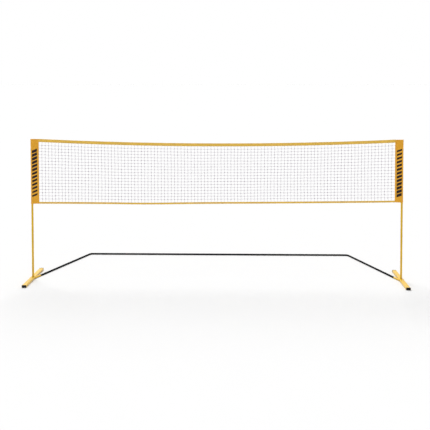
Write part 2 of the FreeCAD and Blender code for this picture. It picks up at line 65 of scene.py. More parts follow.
# Places, from the frame
POLE = middle("right_upper_pole")
NET_Y = POLE.y
TAPE_LOW, TAPE_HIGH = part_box("top_tape")
MESH_LOW, MESH_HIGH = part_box("netting")
BOTTOM_TAPE_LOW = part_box("bottom_tape")[0]
SLEEVE_LOW, SLEEVE_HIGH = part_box("right_sleeve")
RIGHT_FOOT = SLEEVE_LOW.z
LEFT_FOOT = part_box("left_sleeve")[0].z
PANEL_HALF = MESH_HIGH.x
TOP_TAPE_HEIGHT = TAPE_HIGH.z - MESH_HIGH.z
BOTTOM_TAPE_HEIGHT = MESH_LOW.z - BOTTOM_TAPE_LOW.z
SAG = MESH_HIGH.z - TAPE_LOW.z
POLE_TO_EDGE = POLE.x - SLEEVE_LOW.x
ROUND_RADIUS = SLEEVE_HIGH.x - POLE.x
MM = 0.001

# Netting
COLUMNS = 107
ROWS = 19
TWINE_RADIUS = 0.84 * MM
STRAND_SIDES = 5
STEPS_PER_MESH = 4
TUCK = 7 * MM  # strand ends inside the tapes and sleeves
STRAND_BOW = 0.55 * MM
LEVEL_SAG = 0.8 * MM
# How far the knots wander: in slow waves over the net, and each on its own
WAVE_X, WAVE_Z, WAVE_Y = 4.0 * MM, 2.6 * MM, 2.2 * MM
STRAY_X, STRAY_Z, STRAY_Y = 1.1 * MM, 1.0 * MM, 0.5 * MM

# Knots: tight loops of doubled twine
KNOT_RADIUS = 4.2 * MM
KNOT_TWINE = 1.3 * MM
KNOT_SIZES = (0.85, 1.12)  # smallest and largest, as shares of the usual size
KNOT_STEPS = 16
KNOT_SIDES = 5

# The net's lower edge hangs between the feet of the sleeves, with a small dip left of the middle
EDGE_SAG = 8 * MM
EDGE_DIP = 6 * MM
EDGE_DIP_AT = -0.38  # share of the half length, from the middle
EDGE_DIP_WIDTH = 0.22

CLOTH = 0.9 * MM  # thickness of one layer

# Tapes: folded strips, sewn along a band that holds the netting
SEWN_FROM = 0.68  # share of the tape's height, from its fold
BAND_EXTRA = 0.8 * MM  # added thickness of the sewn band
TOP_BULGE = 4.4 * MM  # half of the tape's depth at the fold
BOTTOM_BULGE = 2.2 * MM
PINCH = 1.35 * MM  # the same at the sewn band
TAPE_STATIONS = 620
TAPE_TUCK = 2 * MM  # tape ends inside the sleeves
TOP_SWAY = 1.4 * MM
BOTTOM_SWAY = 1.2 * MM
TAPE_RIPPLE = 0.7 * MM
TAPE_PUCKER = 0.28 * MM

# Sleeves: pockets round the pole, sewn flat beside it, with hems above and below
HEM_EXTRA = 0.8 * MM
TOP_HEM = TOP_TAPE_HEIGHT
BOTTOM_HEM = 24 * MM
SLEEVE_SEAM = 44 * MM  # where the layers meet, from the pole's axis
SEAM_GAP = 1.15 * MM  # half of the distance between the sewn layers
CLOSED_GAP = 0.95 * MM  # the same where the top closes
CLOSING = 10 * MM  # height over which the top closes
SLEEVE_STATIONS = 150
LOOSE_FROM = 30 * MM  # full creases begin here, from the pole's axis
FINE_CREASE = 0.55 * MM
BROAD_CREASE = 0.65 * MM
FLAP_SWAY = 1.6 * MM
SLEEVE_SWELL = 0.35 * MM

# Stitches; the last three are distances from a hem's inner edge and from the sleeve's top
STITCH_PITCH = 4.6 * MM
STITCH_LENGTH = 3.4 * MM
STITCH_RADIUS = 0.45 * MM
STITCH_SIDES = 5
HEM_STITCHES = 4 * MM
TOP_STITCHES = 14 * MM
SIDE_STITCHES_END = 12 * MM

# Weld beads
WELD_RADIUS = 1.7 * MM
WELD_RIPPLE = 2.6 * MM  # length of one ripple along the bead
WELD_RISE = 0.10  # height of the ripples, as a share of the bead's radius
WELD_LOWEST = 3.2 * MM  # height of the bead's ends above the floor
WELD_STEPS = 90
WELD_SIDES = 10


def smooth_noise(x, y, z, scale, seed):
    """Repeatable noise from -1 to 1 with features of about 1 / scale metres."""
    return noise.noise(Vector((x * scale + seed, y * scale - seed, z * scale + 3 * seed)))


def drop(x):
    """How far the top tape hangs below its ends at x; works on arrays."""
    radius = PANEL_HALF**2 / (2 * SAG) + SAG / 2
    return SAG - radius + np.sqrt(radius**2 - np.square(x))


def lower_edge(x):
    """The height of the net's lower edge at x; works on arrays."""
    along = np.asarray(x) / PANEL_HALF
    straight = LEFT_FOOT + (RIGHT_FOOT - LEFT_FOOT) * (1 + along) / 2
    dip = EDGE_DIP * np.exp(-np.square((along - EDGE_DIP_AT) / EDGE_DIP_WIDTH))
    return straight - EDGE_SAG * (1 - np.square(along)) - dip


# ---------------------------------------------------------------- materials


class Nodes:
    """A material's node tree with short calls for adding and joining nodes."""

    def __init__(self, name):
        self.material = bpy.data.materials.new(name)
        self.material.use_nodes = True
        self.tree = self.material.node_tree
        self.shader = self.tree.nodes["Principled BSDF"]
        place = self.tree.nodes.new("ShaderNodeTexCoord")
        self.place = place.outputs["Object"]

    def join(self, source, target):
        self.tree.links.new(source, target)

    def add(self, kind, inputs=None, **settings):
        node = self.tree.nodes.new(kind)
        for name, value in settings.items():
            setattr(node, name, value)
        for name, value in (inputs or {}).items():
            if isinstance(value, bpy.types.NodeSocket):
                self.join(value, node.inputs[name])
            else:
                node.inputs[name].default_value = value
        return node

    def noise(self, scale, detail=3.0, roughness=0.55, stretch=None):
        place = self.place
        if stretch:
            stretched = self.add("ShaderNodeMapping", {"Vector": place, "Scale": stretch})
            place = stretched.outputs["Vector"]
        settings = {"Vector": place, "Scale": scale, "Detail": detail, "Roughness": roughness}
        return self.add("ShaderNodeTexNoise", settings).outputs["Fac"]

    def math(self, operation, a, b=0.0):
        return self.add("ShaderNodeMath", {0: a, 1: b}, operation=operation).outputs[0]

    def remap(self, value, low, high, new_low, new_high):
        inputs = {"Value": value, "From Min": low, "From Max": high}
        inputs.update({"To Min": new_low, "To Max": new_high})
        return self.add("ShaderNodeMapRange", inputs).outputs["Result"]

    def spread(self, value, new_low, new_high):
        """Noise lies mostly between 0.3 and 0.7; spread that over the new range."""
        return self.remap(value, 0.3, 0.7, new_low, new_high)

    def mix(self, factor, a, b):
        """A colour between a and b; the numbers are the colour sockets of the Mix node."""
        node = self.add("ShaderNodeMix", data_type="RGBA")
        for index, value in ((0, factor), (6, a), (7, b)):
            if isinstance(value, bpy.types.NodeSocket):
                self.join(value, node.inputs[index])
            else:
                node.inputs[index].default_value = value
        return node.outputs[2]

    def axis(self, name):
        """One coordinate of the point: its place in the frame, in metres."""
        return self.add("ShaderNodeSeparateXYZ", {"Vector": self.place}).outputs[name]

    def bump(self, height, distance, strength, under=None):
        inputs = {"Height": height, "Distance": distance, "Strength": strength}
        node = self.add("ShaderNodeBump", inputs)
        if under is not None:
            self.join(under, node.inputs["Normal"])
        return node.outputs["Normal"]

    def edges(self, radius, reach):
        """1 on sharp edges and 0 on flat faces."""
        rounded = self.add("ShaderNodeBevel", {"Radius": radius}, samples=4).outputs["Normal"]
        true = self.add("ShaderNodeNewGeometry").outputs["Normal"]
        both = self.add("ShaderNodeVectorMath", operation="DOT_PRODUCT")
        self.join(rounded, both.inputs[0])
        self.join(true, both.inputs[1])
        return self.remap(both.outputs["Value"], 1.0, reach, 0.0, 1.0)

    def finish(self, color=None, roughness=None, normal=None, **values):
        for socket, source in (("Base Color", color), ("Roughness", roughness), ("Normal", normal)):
            if source is not None:
                self.join(source, self.shader.inputs[socket])
        for socket, value in values.items():
            self.shader.inputs[socket.replace("_", " ")].default_value = value
        return self.material


def shade(color, factor):
    return tuple(channel * factor for channel in color) + (1.0,)


# Colours
YELLOW = (0.78, 0.475, 0.012)
RUBBED_YELLOW = (0.80, 0.60, 0.30, 1.0)
SLEEVE_YELLOW = (0.96, 0.465, 0.033)
TAPE_YELLOW = (0.91, 0.575, 0.095)
INK = (0.008, 0.007, 0.016)
DUST = (0.30, 0.27, 0.23, 1.0)
BLACK_PAINT = ((0.0022, 0.0022, 0.003, 1.0), (0.0045, 0.0045, 0.006, 1.0))
RUBBED_BLACK = (0.10, 0.095, 0.095, 1.0)
BLACK_PLASTIC = (0.006, 0.006, 0.007)
RED_PLASTIC = (0.58, 0.012, 0.010)
STEEL_TONES = ((0.42, 0.42, 0.44, 1.0), (0.66, 0.66, 0.68, 1.0))
CLOTH_SHEEN = (1.0, 0.72, 0.35, 1.0)
THREAD_YELLOW = (0.74, 0.40, 0.075)
TWINE_TONES = ((0.092, 0.020, 0.112, 1.0), (0.150, 0.045, 0.180, 1.0))

# Length of one turn of twisted twine and thread, and the cloths' threads in a metre
TWINE_LAY = 2.2 * MM
THREAD_LAY = 1.1 * MM
SLEEVE_THREADS = 1100.0
TAPE_THREADS = 1300.0


def powder_coat(name, color, worn_color, coat=0.0):
    """Baked paint on steel: orange peel, uneven gloss, rubbed edges, dust low down, clear coat."""
    n = Nodes(name)
    patches = n.noise(7.0, 4.0)
    tone = n.mix(n.spread(patches, 0.0, 1.0), shade(color, 0.93), shade(color, 1.06))
    rub = n.math("MULTIPLY", n.edges(0.0012, 0.7), n.remap(n.noise(160.0), 0.42, 0.62, 0.0, 0.55))
    tone = n.mix(rub, tone, worn_color)
    dust = n.remap(n.axis("Z"), 0.0, 0.02, 0.10, 0.0)
    tone = n.mix(dust, tone, DUST)
    gloss = n.spread(n.noise(60.0, 5.0), 0.30, 0.44)
    peel = n.bump(n.noise(1400.0, 2.0), 0.00006, 0.5)
    scuffs = n.bump(n.noise(260.0, 6.0, 0.7), 0.00005, 0.35, peel)
    shine = {"Specular_IOR_Level": 0.35, "Coat_Weight": coat, "Coat_Roughness": 0.16}
    return n.finish(tone, gloss, scuffs, **shine)


def black_tube(name):
    """Satin black paint with faint scratches and bright rubbed ends."""
    n = Nodes(name)
    patches = n.noise(11.0, 4.0)
    tone = n.mix(n.spread(patches, 0.0, 1.0), *BLACK_PAINT)
    rub = n.math("MULTIPLY", n.edges(0.0008, 0.75), n.remap(n.noise(300.0), 0.45, 0.6, 0.0, 0.8))
    tone = n.mix(rub, tone, RUBBED_BLACK)
    gloss = n.spread(n.noise(90.0, 5.0), 0.36, 0.52)
    grain = n.bump(n.noise(1700.0, 2.0), 0.00005, 0.45)
    scratches = n.bump(n.noise(35.0, 6.0, 0.75, (1.0, 1.0, 14.0)), 0.00006, 0.3, grain)
    return n.finish(tone, gloss, scratches, Specular_IOR_Level=0.06)


def moulded_plastic(name, color, low_gloss, high_gloss, grain):
    """Injection-moulded plastic with a fine spark-eroded grain."""
    n = Nodes(name)
    tone = n.mix(n.spread(n.noise(45.0), 0.0, 1.0), shade(color, 0.85), shade(color, 1.2))
    pale = n.math("MULTIPLY", n.edges(0.0008, 0.7), 0.35)
    tone = n.mix(pale, tone, shade([c + 0.12 for c in color], 1.0))
    gloss = n.spread(n.noise(120.0), low_gloss, high_gloss)
    return n.finish(tone, gloss, n.bump(n.noise(2200.0, 2.0), grain, 0.6), Specular_IOR_Level=0.25)


def bare_steel(name):
    """Drawn steel strip with grinding lines along its length."""
    n = Nodes(name)
    lines = n.noise(900.0, 3.0, 0.6, (0.05, 1.0, 1.0))
    tone = n.mix(lines, *STEEL_TONES)
    gloss = n.spread(lines, 0.22, 0.36)
    return n.finish(tone, gloss, n.bump(lines, 0.00003, 0.5), Metallic=1.0)


def weave(n, threads_per_metre):
    """Height of a plain weave: threads along X and Z that cross over and under."""
    turns = 2 * math.pi * threads_per_metre
    warp = n.math("SINE", n.math("MULTIPLY", n.axis("X"), turns))
    weft = n.math("SINE", n.math("MULTIPLY", n.axis("Z"), turns))
    return n.remap(n.math("MULTIPLY", warp, weft), -1.0, 1.0, 0.0, 1.0)


def woven_cloth(name, color, threads_per_metre, printed=False):
    """Polyester cloth: weave, fibre fuzz, soft tone changes and, on the sleeves, printed bars."""
    n = Nodes(name)
    tone = n.mix(n.spread(n.noise(9.0, 5.0), 0.0, 1.0), shade(color, 0.92), shade(color, 1.07))
    threads = weave(n, threads_per_metre)
    # Painted shade: the weave's low points, between the threads, are darkened in the colour.
    tone = n.mix(n.remap(threads, 0.0, 1.0, 0.34, 0.0), tone, shade(color, 0.55))
    fibres = n.noise(2600.0, 3.0, 0.7)
    fuzz = shade([min(1, c + 0.1) for c in color], 1.1)
    tone = n.mix(n.remap(fibres, 0.35, 0.65, 0.0, 0.14), tone, fuzz)
    if printed:
        tone = n.mix(printed_bars(n), tone, INK + (1.0,))
    folds = n.bump(n.noise(30.0, 3.0, 0.5), 0.0009, 0.30)
    threads_on_folds = n.bump(threads, 0.00035, 0.9, folds)
    rough = n.spread(fibres, 0.62, 0.82)
    soft = {"Sheen_Weight": 0.15, "Sheen_Roughness": 0.45, "Sheen_Tint": CLOTH_SHEEN}
    return n.finish(tone, rough, threads_on_folds, Specular_IOR_Level=0.2, **soft)


# Printed bars on the sleeves: slanted, parallel, getting thinner along the sleeve
PRINT_NEAR = 17 * MM  # from the sleeve's outer edge
PRINT_FAR = 71 * MM
PRINT_TOP = 102 * MM  # below the sleeve's top, on the mean of both sleeves
PRINT_OFFSET = 14 * MM  # up on the right sleeve and down on the left one
PRINT_LENGTH = 533 * MM
BAR_PITCH = 41 * MM
BAR_SLANT = 0.42
WIDEST_BAR, THINNEST_BAR = 0.80, 0.50  # shares of the pitch
INK_FRAY = 0.15 * MM


def printed_bars(n):
    """1 where the sleeve carries ink; the bars run down the left sleeve and up the right one.

    The print sits a little lower on the left sleeve than on the right one.
    """
    across = n.math("SUBTRACT", SLEEVE_HIGH.x, n.math("ABSOLUTE", n.axis("X")))
    side = n.math("SIGN", n.axis("X"))
    middle_height = SLEEVE_HIGH.z - PRINT_TOP - PRINT_LENGTH / 2
    centre = n.math("ADD", n.math("MULTIPLY", side, PRINT_OFFSET), middle_height)
    along = n.math("MULTIPLY", n.math("SUBTRACT", n.axis("Z"), centre), side)
    fray = n.spread(n.noise(1200.0), -INK_FRAY, INK_FRAY)
    middle_across = (PRINT_NEAR + PRINT_FAR) / 2
    lean = n.math("MULTIPLY", n.math("SUBTRACT", across, middle_across), BAR_SLANT)
    slanted = n.math("ADD", n.math("ADD", along, lean), fray)
    bar = n.math("FRACT", n.math("DIVIDE", n.math("ADD", slanted, PRINT_LENGTH / 2), BAR_PITCH))
    width = n.remap(along, -PRINT_LENGTH / 2, PRINT_LENGTH / 2, WIDEST_BAR, THINNEST_BAR)
    inked = n.math("LESS_THAN", bar, width)
    inside = n.math("LESS_THAN", n.math("ABSOLUTE", slanted), PRINT_LENGTH / 2)
    near = n.math("GREATER_THAN", across, PRINT_NEAR)
    far = n.math("LESS_THAN", across, PRINT_FAR)
    mask = n.math("MULTIPLY", n.math("MULTIPLY", inked, inside), n.math("MULTIPLY", near, far))
    return n.math("MULTIPLY", mask, n.remap(n.noise(900.0, 4.0), 0.2, 0.5, 0.93, 0.985))


def twisted(n, lay):
    """Height of a twist that turns once in each lay, along strands that run in X or in Z."""
    along = n.math("ADD", n.axis("X"), n.axis("Z"))
    return n.math("SINE", n.math("MULTIPLY", along, 2 * math.pi / lay))


def net_twine(name):
    """Dark twisted nylon twine."""
    n = Nodes(name)
    tone = n.mix(n.noise(55.0, 4.0), *TWINE_TONES)
    twist = twisted(n, TWINE_LAY)
    rough = n.remap(twist, -1, 1, 0.55, 0.75)
    return n.finish(tone, rough, n.bump(twist, 0.0002, 0.6), Specular_IOR_Level=0.3)


def thread(name, color):
    """Twisted sewing thread."""
    n = Nodes(name)
    tone = n.mix(n.noise(300.0), shade(color, 0.85), shade(color, 1.15))
    twist = twisted(n, THREAD_LAY)
    return n.finish(tone, n.remap(twist, -1, 1, 0.45, 0.65), n.bump(twist, 0.00012, 0.6))


MATERIALS = {
    "yellow_paint": powder_coat("yellow_powder_coat", YELLOW, RUBBED_YELLOW),
    "foot_paint": powder_coat("glossy_yellow_coat", YELLOW, RUBBED_YELLOW, 0.5),
    "black_paint": black_tube("black_satin_tube"),
    "black_plastic": moulded_plastic("black_plastic", BLACK_PLASTIC, 0.38, 0.55, 0.00005),
    "red_plastic": moulded_plastic("red_plastic", RED_PLASTIC, 0.18, 0.30, 0.00002),
    "spring_steel": bare_steel("spring_steel"),
    "sleeve_fabric": woven_cloth("sleeve_cloth", SLEEVE_YELLOW, SLEEVE_THREADS, printed=True),
    "tape_fabric": woven_cloth("tape_cloth", TAPE_YELLOW, TAPE_THREADS),
    "net_twine": net_twine("net_twine"),
    "thread": thread("sewing_thread", THREAD_YELLOW),
}


def dress_cad_nodes():
    """Every carried-over part takes its slot's material; the foot bars are glossier paint."""
    slots = {part["node"]: part["material_slot"] for part in frame["record"]["subparts"]}
    for node, part in frame["nodes"].items():
        part.data.materials.clear()
        slot = "foot_paint" if "foot_bar" in node else slots[node]
        part.data.materials.append(MATERIALS[slot])


# ---------------------------------------------------------------- mesh helpers


def new_piece(name, points, faces, material, flat=False):
    """A mesh piece in the scene, with the material of its slot."""
    mesh = bpy.data.meshes.new(name)
    mesh.from_pydata(np.asarray(points).tolist(), [], [list(f) for f in faces])
    mesh.update()
    if flat:
        mesh.shade_flat()
    else:
        mesh.shade_smooth()
    mesh.materials.append(MATERIALS[material])
    piece = bpy.data.objects.new(name, mesh)
    bpy.context.scene.collection.objects.link(piece)
    return piece


def unit(vectors):
    return vectors / np.linalg.norm(vectors, axis=-1, keepdims=True)


def grid_faces(rows, columns, first=0, flip=False):
    """Quads of a grid whose points are numbered row by row."""
    start = first + np.arange(rows - 1)[:, None] * columns + np.arange(columns - 1)[None, :]
    corners = [start, start + 1, start + columns + 1, start + columns]
    if flip:
        corners.reverse()
    return np.stack(corners, -1).reshape(-1, 4)


def grid_normals(lines):
    """Unit normals of a grid of points (rows, columns, 3)."""
    along = np.gradient(lines, axis=0)
    across = np.gradient(lines, axis=1)
    return unit(np.cross(along, across))


def cloth_shell(name, lines, thickness, material):
    """A sheet of cloth of real thickness about a grid of centre points (rows, columns, 3)."""
    rows, columns = lines.shape[:2]
    half = np.broadcast_to(np.asarray(thickness) / 2, (rows, columns))[:, :, None]
    normals = grid_normals(lines)
    count = rows * columns
    points = np.concatenate([lines + normals * half, lines - normals * half]).reshape(-1, 3)
    number = np.arange(count).reshape(rows, columns)
    rim = np.concatenate([number[0], number[1:, -1], number[-1, -2::-1], number[-2:0:-1, 0]])
    after = np.roll(rim, -1)
    rim_faces = np.stack([rim, rim + count, after + count, after], -1)
    outside, inside = grid_faces(rows, columns), grid_faces(rows, columns, count, True)
    return new_piece(name, points, np.concatenate([outside, inside, rim_faces]), material)


def strands(paths, radius, side_axis):
    """Points and faces of closed tubes about many nearly straight paths (strands, points, 3)."""
    count, steps = paths.shape[:2]
    sides = STRAND_SIDES
    angles = np.arange(sides) * 2 * math.pi / sides
    sideways = np.cos(angles)[:, None] * np.asarray(side_axis, float)
    ring = radius * (sideways + np.sin(angles)[:, None] * np.array([0.0, 1.0, 0.0]))
    points = (paths[:, :, None, :] + ring).reshape(-1, 3)
    strand = np.arange(count)[:, None, None] * steps * sides
    step = np.arange(steps - 1)[None, :, None] * sides
    a = np.arange(sides)[None, None, :]
    b = (a + 1) % sides
    base = strand + step
    walls = np.stack([base + a, base + b, base + sides + b, base + sides + a], -1).reshape(-1, 4)
    first = np.arange(count)[:, None] * steps * sides + np.arange(sides)[None, ::-1]
    last = first[:, ::-1] + (steps - 1) * sides
    return points, [*walls.tolist(), *first.tolist(), *last.tolist()]


# ---------------------------------------------------------------- netting


def knot_places(random):
    """Grid of the netting's crossings (rows + 1, columns + 1, 3), its rim tucked into the tapes."""
    column = np.arange(COLUMNS + 1) / COLUMNS
    row = np.arange(ROWS + 1) / ROWS
    x = np.broadcast_to(-PANEL_HALF + 2 * PANEL_HALF * column, (ROWS + 1, COLUMNS + 1)).copy()
    share = np.broadcast_to(row[:, None], x.shape)
    low = lower_edge(x) + BOTTOM_TAPE_HEIGHT
    high = MESH_HIGH.z - drop(x)
    z = low + (high - low) * share
    scales_and_seeds = ((2.3, 5.0), (2.3, 9.0), (1.1, 2.0))
    wave = np.array(
        [
            [smooth_noise(a, 0, b, scale, seed) for scale, seed in scales_and_seeds]
            for a, b in zip(x.ravel(), z.ravel())
        ]
    ).reshape(x.shape + (3,))
    stray = random.uniform(-1, 1, x.shape + (3,))
    free = (share > 0) & (share < 1)
    x += free * (WAVE_X * wave[..., 0] + STRAY_X * stray[..., 0])
    z += free * (WAVE_Z * wave[..., 1] + STRAY_Z * stray[..., 1])
    y = NET_Y + free * (WAVE_Y * wave[..., 2] + STRAY_Y * stray[..., 2])
    x[:, 0], x[:, -1] = -PANEL_HALF - TUCK, PANEL_HALF + TUCK
    z[0] -= TUCK
    z[-1] += TUCK
    y[:, 0] = y[:, -1] = NET_Y
    return np.stack([x, y, z], -1)


def slack_path(places, random, sag):
    """Paths through the knots (strands, knots, 3), each mesh side bowed a little its own way."""
    count, knots = places.shape[:2]
    bow = random.normal(0, STRAND_BOW, (count, knots - 1, 3))
    bow[..., 2] -= sag
    pieces = []
    for step in range(STEPS_PER_MESH):
        t = step / STEPS_PER_MESH
        between = places[:, :-1] * (1 - t) + places[:, 1:] * t
        pieces.append(between + 4 * t * (1 - t) * bow)
    path = np.stack(pieces, 2).reshape(count, (knots - 1) * STEPS_PER_MESH, 3)
    return np.concatenate([path, places[:, -1:]], 1)


def build_strands(places, random):
    """The upright strands, then the level ones, as one piece."""
    upright = slack_path(places[:, 1:-1].transpose(1, 0, 2), random, 0.0)
    level = slack_path(places[1:-1], random, LEVEL_SAG)
    points, faces = strands(upright, TWINE_RADIUS, (1, 0, 0))
    more_points, more_faces = strands(level, TWINE_RADIUS, (0, 0, 1))
    faces += [[i + len(points) for i in face] for face in more_faces]
    points = np.concatenate([points, more_points])
    return new_piece("net_strands", points, faces, "net_twine")


def one_knot():
    """A trefoil of doubled twine, pulled tight, about the origin: its points and faces."""
    t = np.arange(KNOT_STEPS) * 2 * math.pi / KNOT_STEPS
    across, up = np.sin(t) + 2 * np.sin(2 * t), np.cos(t) - 2 * np.cos(2 * t)
    path = np.stack([across, -1.3 * np.sin(3 * t), up], -1)
    path *= (KNOT_RADIUS - KNOT_TWINE) / 3
    tangent = unit(np.roll(path, -1, 0) - np.roll(path, 1, 0))
    side = unit(np.cross(tangent, np.array([0.0, 1.0, 0.0])))
    over = np.cross(side, tangent)
    angle = np.arange(KNOT_SIDES) * 2 * math.pi / KNOT_SIDES
    cos, sin = np.cos(angle)[None, :, None], np.sin(angle)[None, :, None]
    ring = cos * side[:, None] + sin * over[:, None]
    points = (path[:, None] + KNOT_TWINE * ring).reshape(-1, 3)
    a = np.arange(KNOT_STEPS)[:, None] * KNOT_SIDES + np.arange(KNOT_SIDES)[None, :]
    b = np.roll(a, -1, 1)
    faces = np.stack([a, b, np.roll(b, -1, 0), np.roll(a, -1, 0)], -1).reshape(-1, 4)
    return points, faces


def build_knots(places, random, name):
    """A knot at each of the places, turned and sized at random, as one piece."""
    points, faces = one_knot()
    centres = places.reshape(-1, 3)
    count = len(centres)
    turn = random.uniform(0, 2 * math.pi, count)
    size = random.uniform(*KNOT_SIZES, count)
    cos, sin = np.cos(turn)[:, None], np.sin(turn)[:, None]
    x = points[None, :, 0] * cos - points[None, :, 2] * sin
    z = points[None, :, 0] * sin + points[None, :, 2] * cos
    y = np.broadcast_to(points[None, :, 1], x.shape)
    placed = np.stack([x, y, z], -1) * size[:, None, None] + centres[:, None]
    numbered = faces[None] + (np.arange(count) * len(points))[:, None, None]
    return new_piece(name, placed.reshape(-1, 3), numbered.reshape(-1, 4), "net_twine")


def build_netting():
    """Strands and knots; the knots are two pieces, so that each stays a light mesh."""
    random = np.random.default_rng(7)
    places = knot_places(random)
    netting = build_strands(places, random)
    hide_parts("netting")
    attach(netting, "net")
    half = COLUMNS // 2
    for name, first, last in (("net_knots_left", 1, half), ("net_knots_right", half, COLUMNS)):
        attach(build_knots(places[1:-1, first:last], random, name), "net")


# ---------------------------------------------------------------- stitches


def stitch_shape():
    """One stitch along X: a tapered lozenge that dips into the cloth at both ends."""
    sides = STITCH_SIDES
    end, shoulder, crown = (0.25, -0.8), (0.9, 0.1), (1.0, 0.45)
    rings = ((-0.5, end), (-0.3, shoulder), (0.0, crown), (0.3, shoulder), (0.5, end))
    angle = np.arange(sides) * 2 * math.pi / sides
    points = []
    for along, (width, lift) in rings:
        for a in angle:
            across = width * math.cos(a) * STITCH_RADIUS
            height = (lift + width * math.sin(a)) * STITCH_RADIUS
            points.append((along * STITCH_LENGTH, across, height))
    faces = []
    for ring in range(len(rings) - 1):
        for k in range(sides):
            a, b = ring * sides + k, ring * sides + (k + 1) % sides
            faces.append((a, b, b + sides, a + sides))
    faces.append(tuple(range(sides))[::-1])
    faces.append(tuple(len(points) - sides + k for k in range(sides)))
    return np.array(points), faces


def stitch_line(path, normals):
    """Centres, directions and normals of stitches spaced evenly along a path on the cloth."""
    lengths = np.linalg.norm(np.diff(path, axis=0), axis=1)
    run = np.concatenate([[0], np.cumsum(lengths)])
    count = int(run[-1] / STITCH_PITCH)
    at = (np.arange(count) + 0.5) * run[-1] / count

    def sample(values, where):
        return np.stack([np.interp(where, run, values[:, k]) for k in range(3)], -1)

    half = STITCH_LENGTH / 2
    direction = unit(sample(path, at + half) - sample(path, at - half))
    return sample(path, at), direction, unit(sample(normals, at))


def build_stitches(name, lines_of_stitches):
    """All the stitches of a piece of cloth, as one piece that rides with the net."""
    shape, shape_faces = stitch_shape()
    centres, along, normals = (np.concatenate(part) for part in zip(*lines_of_stitches))
    side = unit(np.cross(normals, along))
    placed = (
        centres[:, None]
        + shape[None, :, 0:1] * along[:, None]
        + shape[None, :, 1:2] * side[:, None]
        + shape[None, :, 2:3] * normals[:, None]
    )
    faces = [[k + i * len(shape) for k in face] for i in range(len(centres)) for face in shape_faces]
    piece = new_piece(name, placed.reshape(-1, 3), faces, "thread")
    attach(piece, "net")
    return piece


# ---------------------------------------------------------------- tapes


def tape_section(height, bulge, pinch):
    """Centre line of a folded tape from its front edge over the top to its back edge: (y, down)."""
    turn = np.linspace(-math.pi / 2, math.pi / 2, 9)
    over = np.stack([bulge * np.sin(turn), bulge - bulge * np.cos(turn)], -1)
    up_share = np.array([0, 0.1, 0.2, 0.29, 0.31, 0.36, 0.5, 0.65, 0.8, 0.92])
    down = height - (height - bulge) * up_share
    share = np.minimum(1, (down - bulge) / (SEWN_FROM * height - bulge))
    width = bulge + (pinch - bulge) * share
    front = np.stack([-width, down], -1)
    back = np.stack([width, down], -1)[::-1]
    return np.concatenate([front, over, back])


def tape_lines(section, height, fold, wave, upside=1):
    """Grid of a tape's centre points, with long waves and puckers along its sewn edge.

    fold(x) is the height of the folded edge; upside is -1 for a tape whose fold is below.
    """
    end = PANEL_HALF + TAPE_TUCK
    stations = np.linspace(-end, end, TAPE_STATIONS)
    lines = np.zeros((len(stations), len(section), 3))
    for i, x in enumerate(stations):
        sway = wave * smooth_noise(x, 0, 0, 2.2, 4.0) + 0.35 * wave * smooth_noise(x, 0, 0, 9.0, 1.0)
        twist = 0.5 * wave * smooth_noise(x, 0, 0, 3.1, 8.0)
        lift = TAPE_RIPPLE * smooth_noise(x, 0, 0, 5.0, 6.0)
        for k, (y, down) in enumerate(section):
            sewn = down / height
            pucker = TAPE_PUCKER * sewn * smooth_noise(x, math.copysign(0.05, y), 0, 120.0, 2.0)
            lines[i, k] = (
                x,
                NET_Y + y + sway + twist * (0.5 - sewn) + pucker,
                fold(x) - upside * down + lift * (1 - 0.5 * sewn),
            )
    return lines if upside > 0 else lines[:, ::-1]


def tape_thickness(section, height):
    """The tape's sewn band, where the netting is caught between its layers, is thicker."""
    return np.where(section[:, 1] > SEWN_FROM * height, CLOTH + BAND_EXTRA, CLOTH)[None, :]


def outer_face(lines, thickness):
    """The points and normals of a cloth grid's outer face."""
    normals = grid_normals(lines)
    return lines + normals * (thickness / 2)[:, :, None], normals


def build_tape(name, section, lines, height, stitched):
    """A folded tape with rows of stitches along the given columns of its grid."""
    thickness = tape_thickness(section, height)
    tape = cloth_shell(name + "_cloth", lines, thickness, "tape_fabric")
    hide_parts(name)
    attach(tape, "net")
    surface, normals = outer_face(lines, thickness)
    rows = [stitch_line(surface[:, k], normals[:, k]) for k in stitched]
    stitches = build_stitches(name + "_stitches", rows)


def build_top_tape():
    """The top tape's fold is above; two rows of stitches on each layer."""
    section = tape_section(TOP_TAPE_HEIGHT, TOP_BULGE, PINCH)
    lines = tape_lines(section, TOP_TAPE_HEIGHT, lambda x: TAPE_HIGH.z - drop(x), TOP_SWAY)
    last = len(section) - 1
    build_tape("top_tape", section, lines, TOP_TAPE_HEIGHT, (1, 3, last - 3, last - 1))


def build_bottom_tape():
    """The bottom tape is folded the other way up: its fold hangs below the netting."""
    section = tape_section(BOTTOM_TAPE_HEIGHT, BOTTOM_BULGE, PINCH)
    lines = tape_lines(section, BOTTOM_TAPE_HEIGHT, lower_edge, BOTTOM_SWAY, -1)
    last = len(section) - 1
    build_tape("bottom_tape", section, lines, BOTTOM_TAPE_HEIGHT, (2, last - 2))


# ---------------------------------------------------------------- sleeves


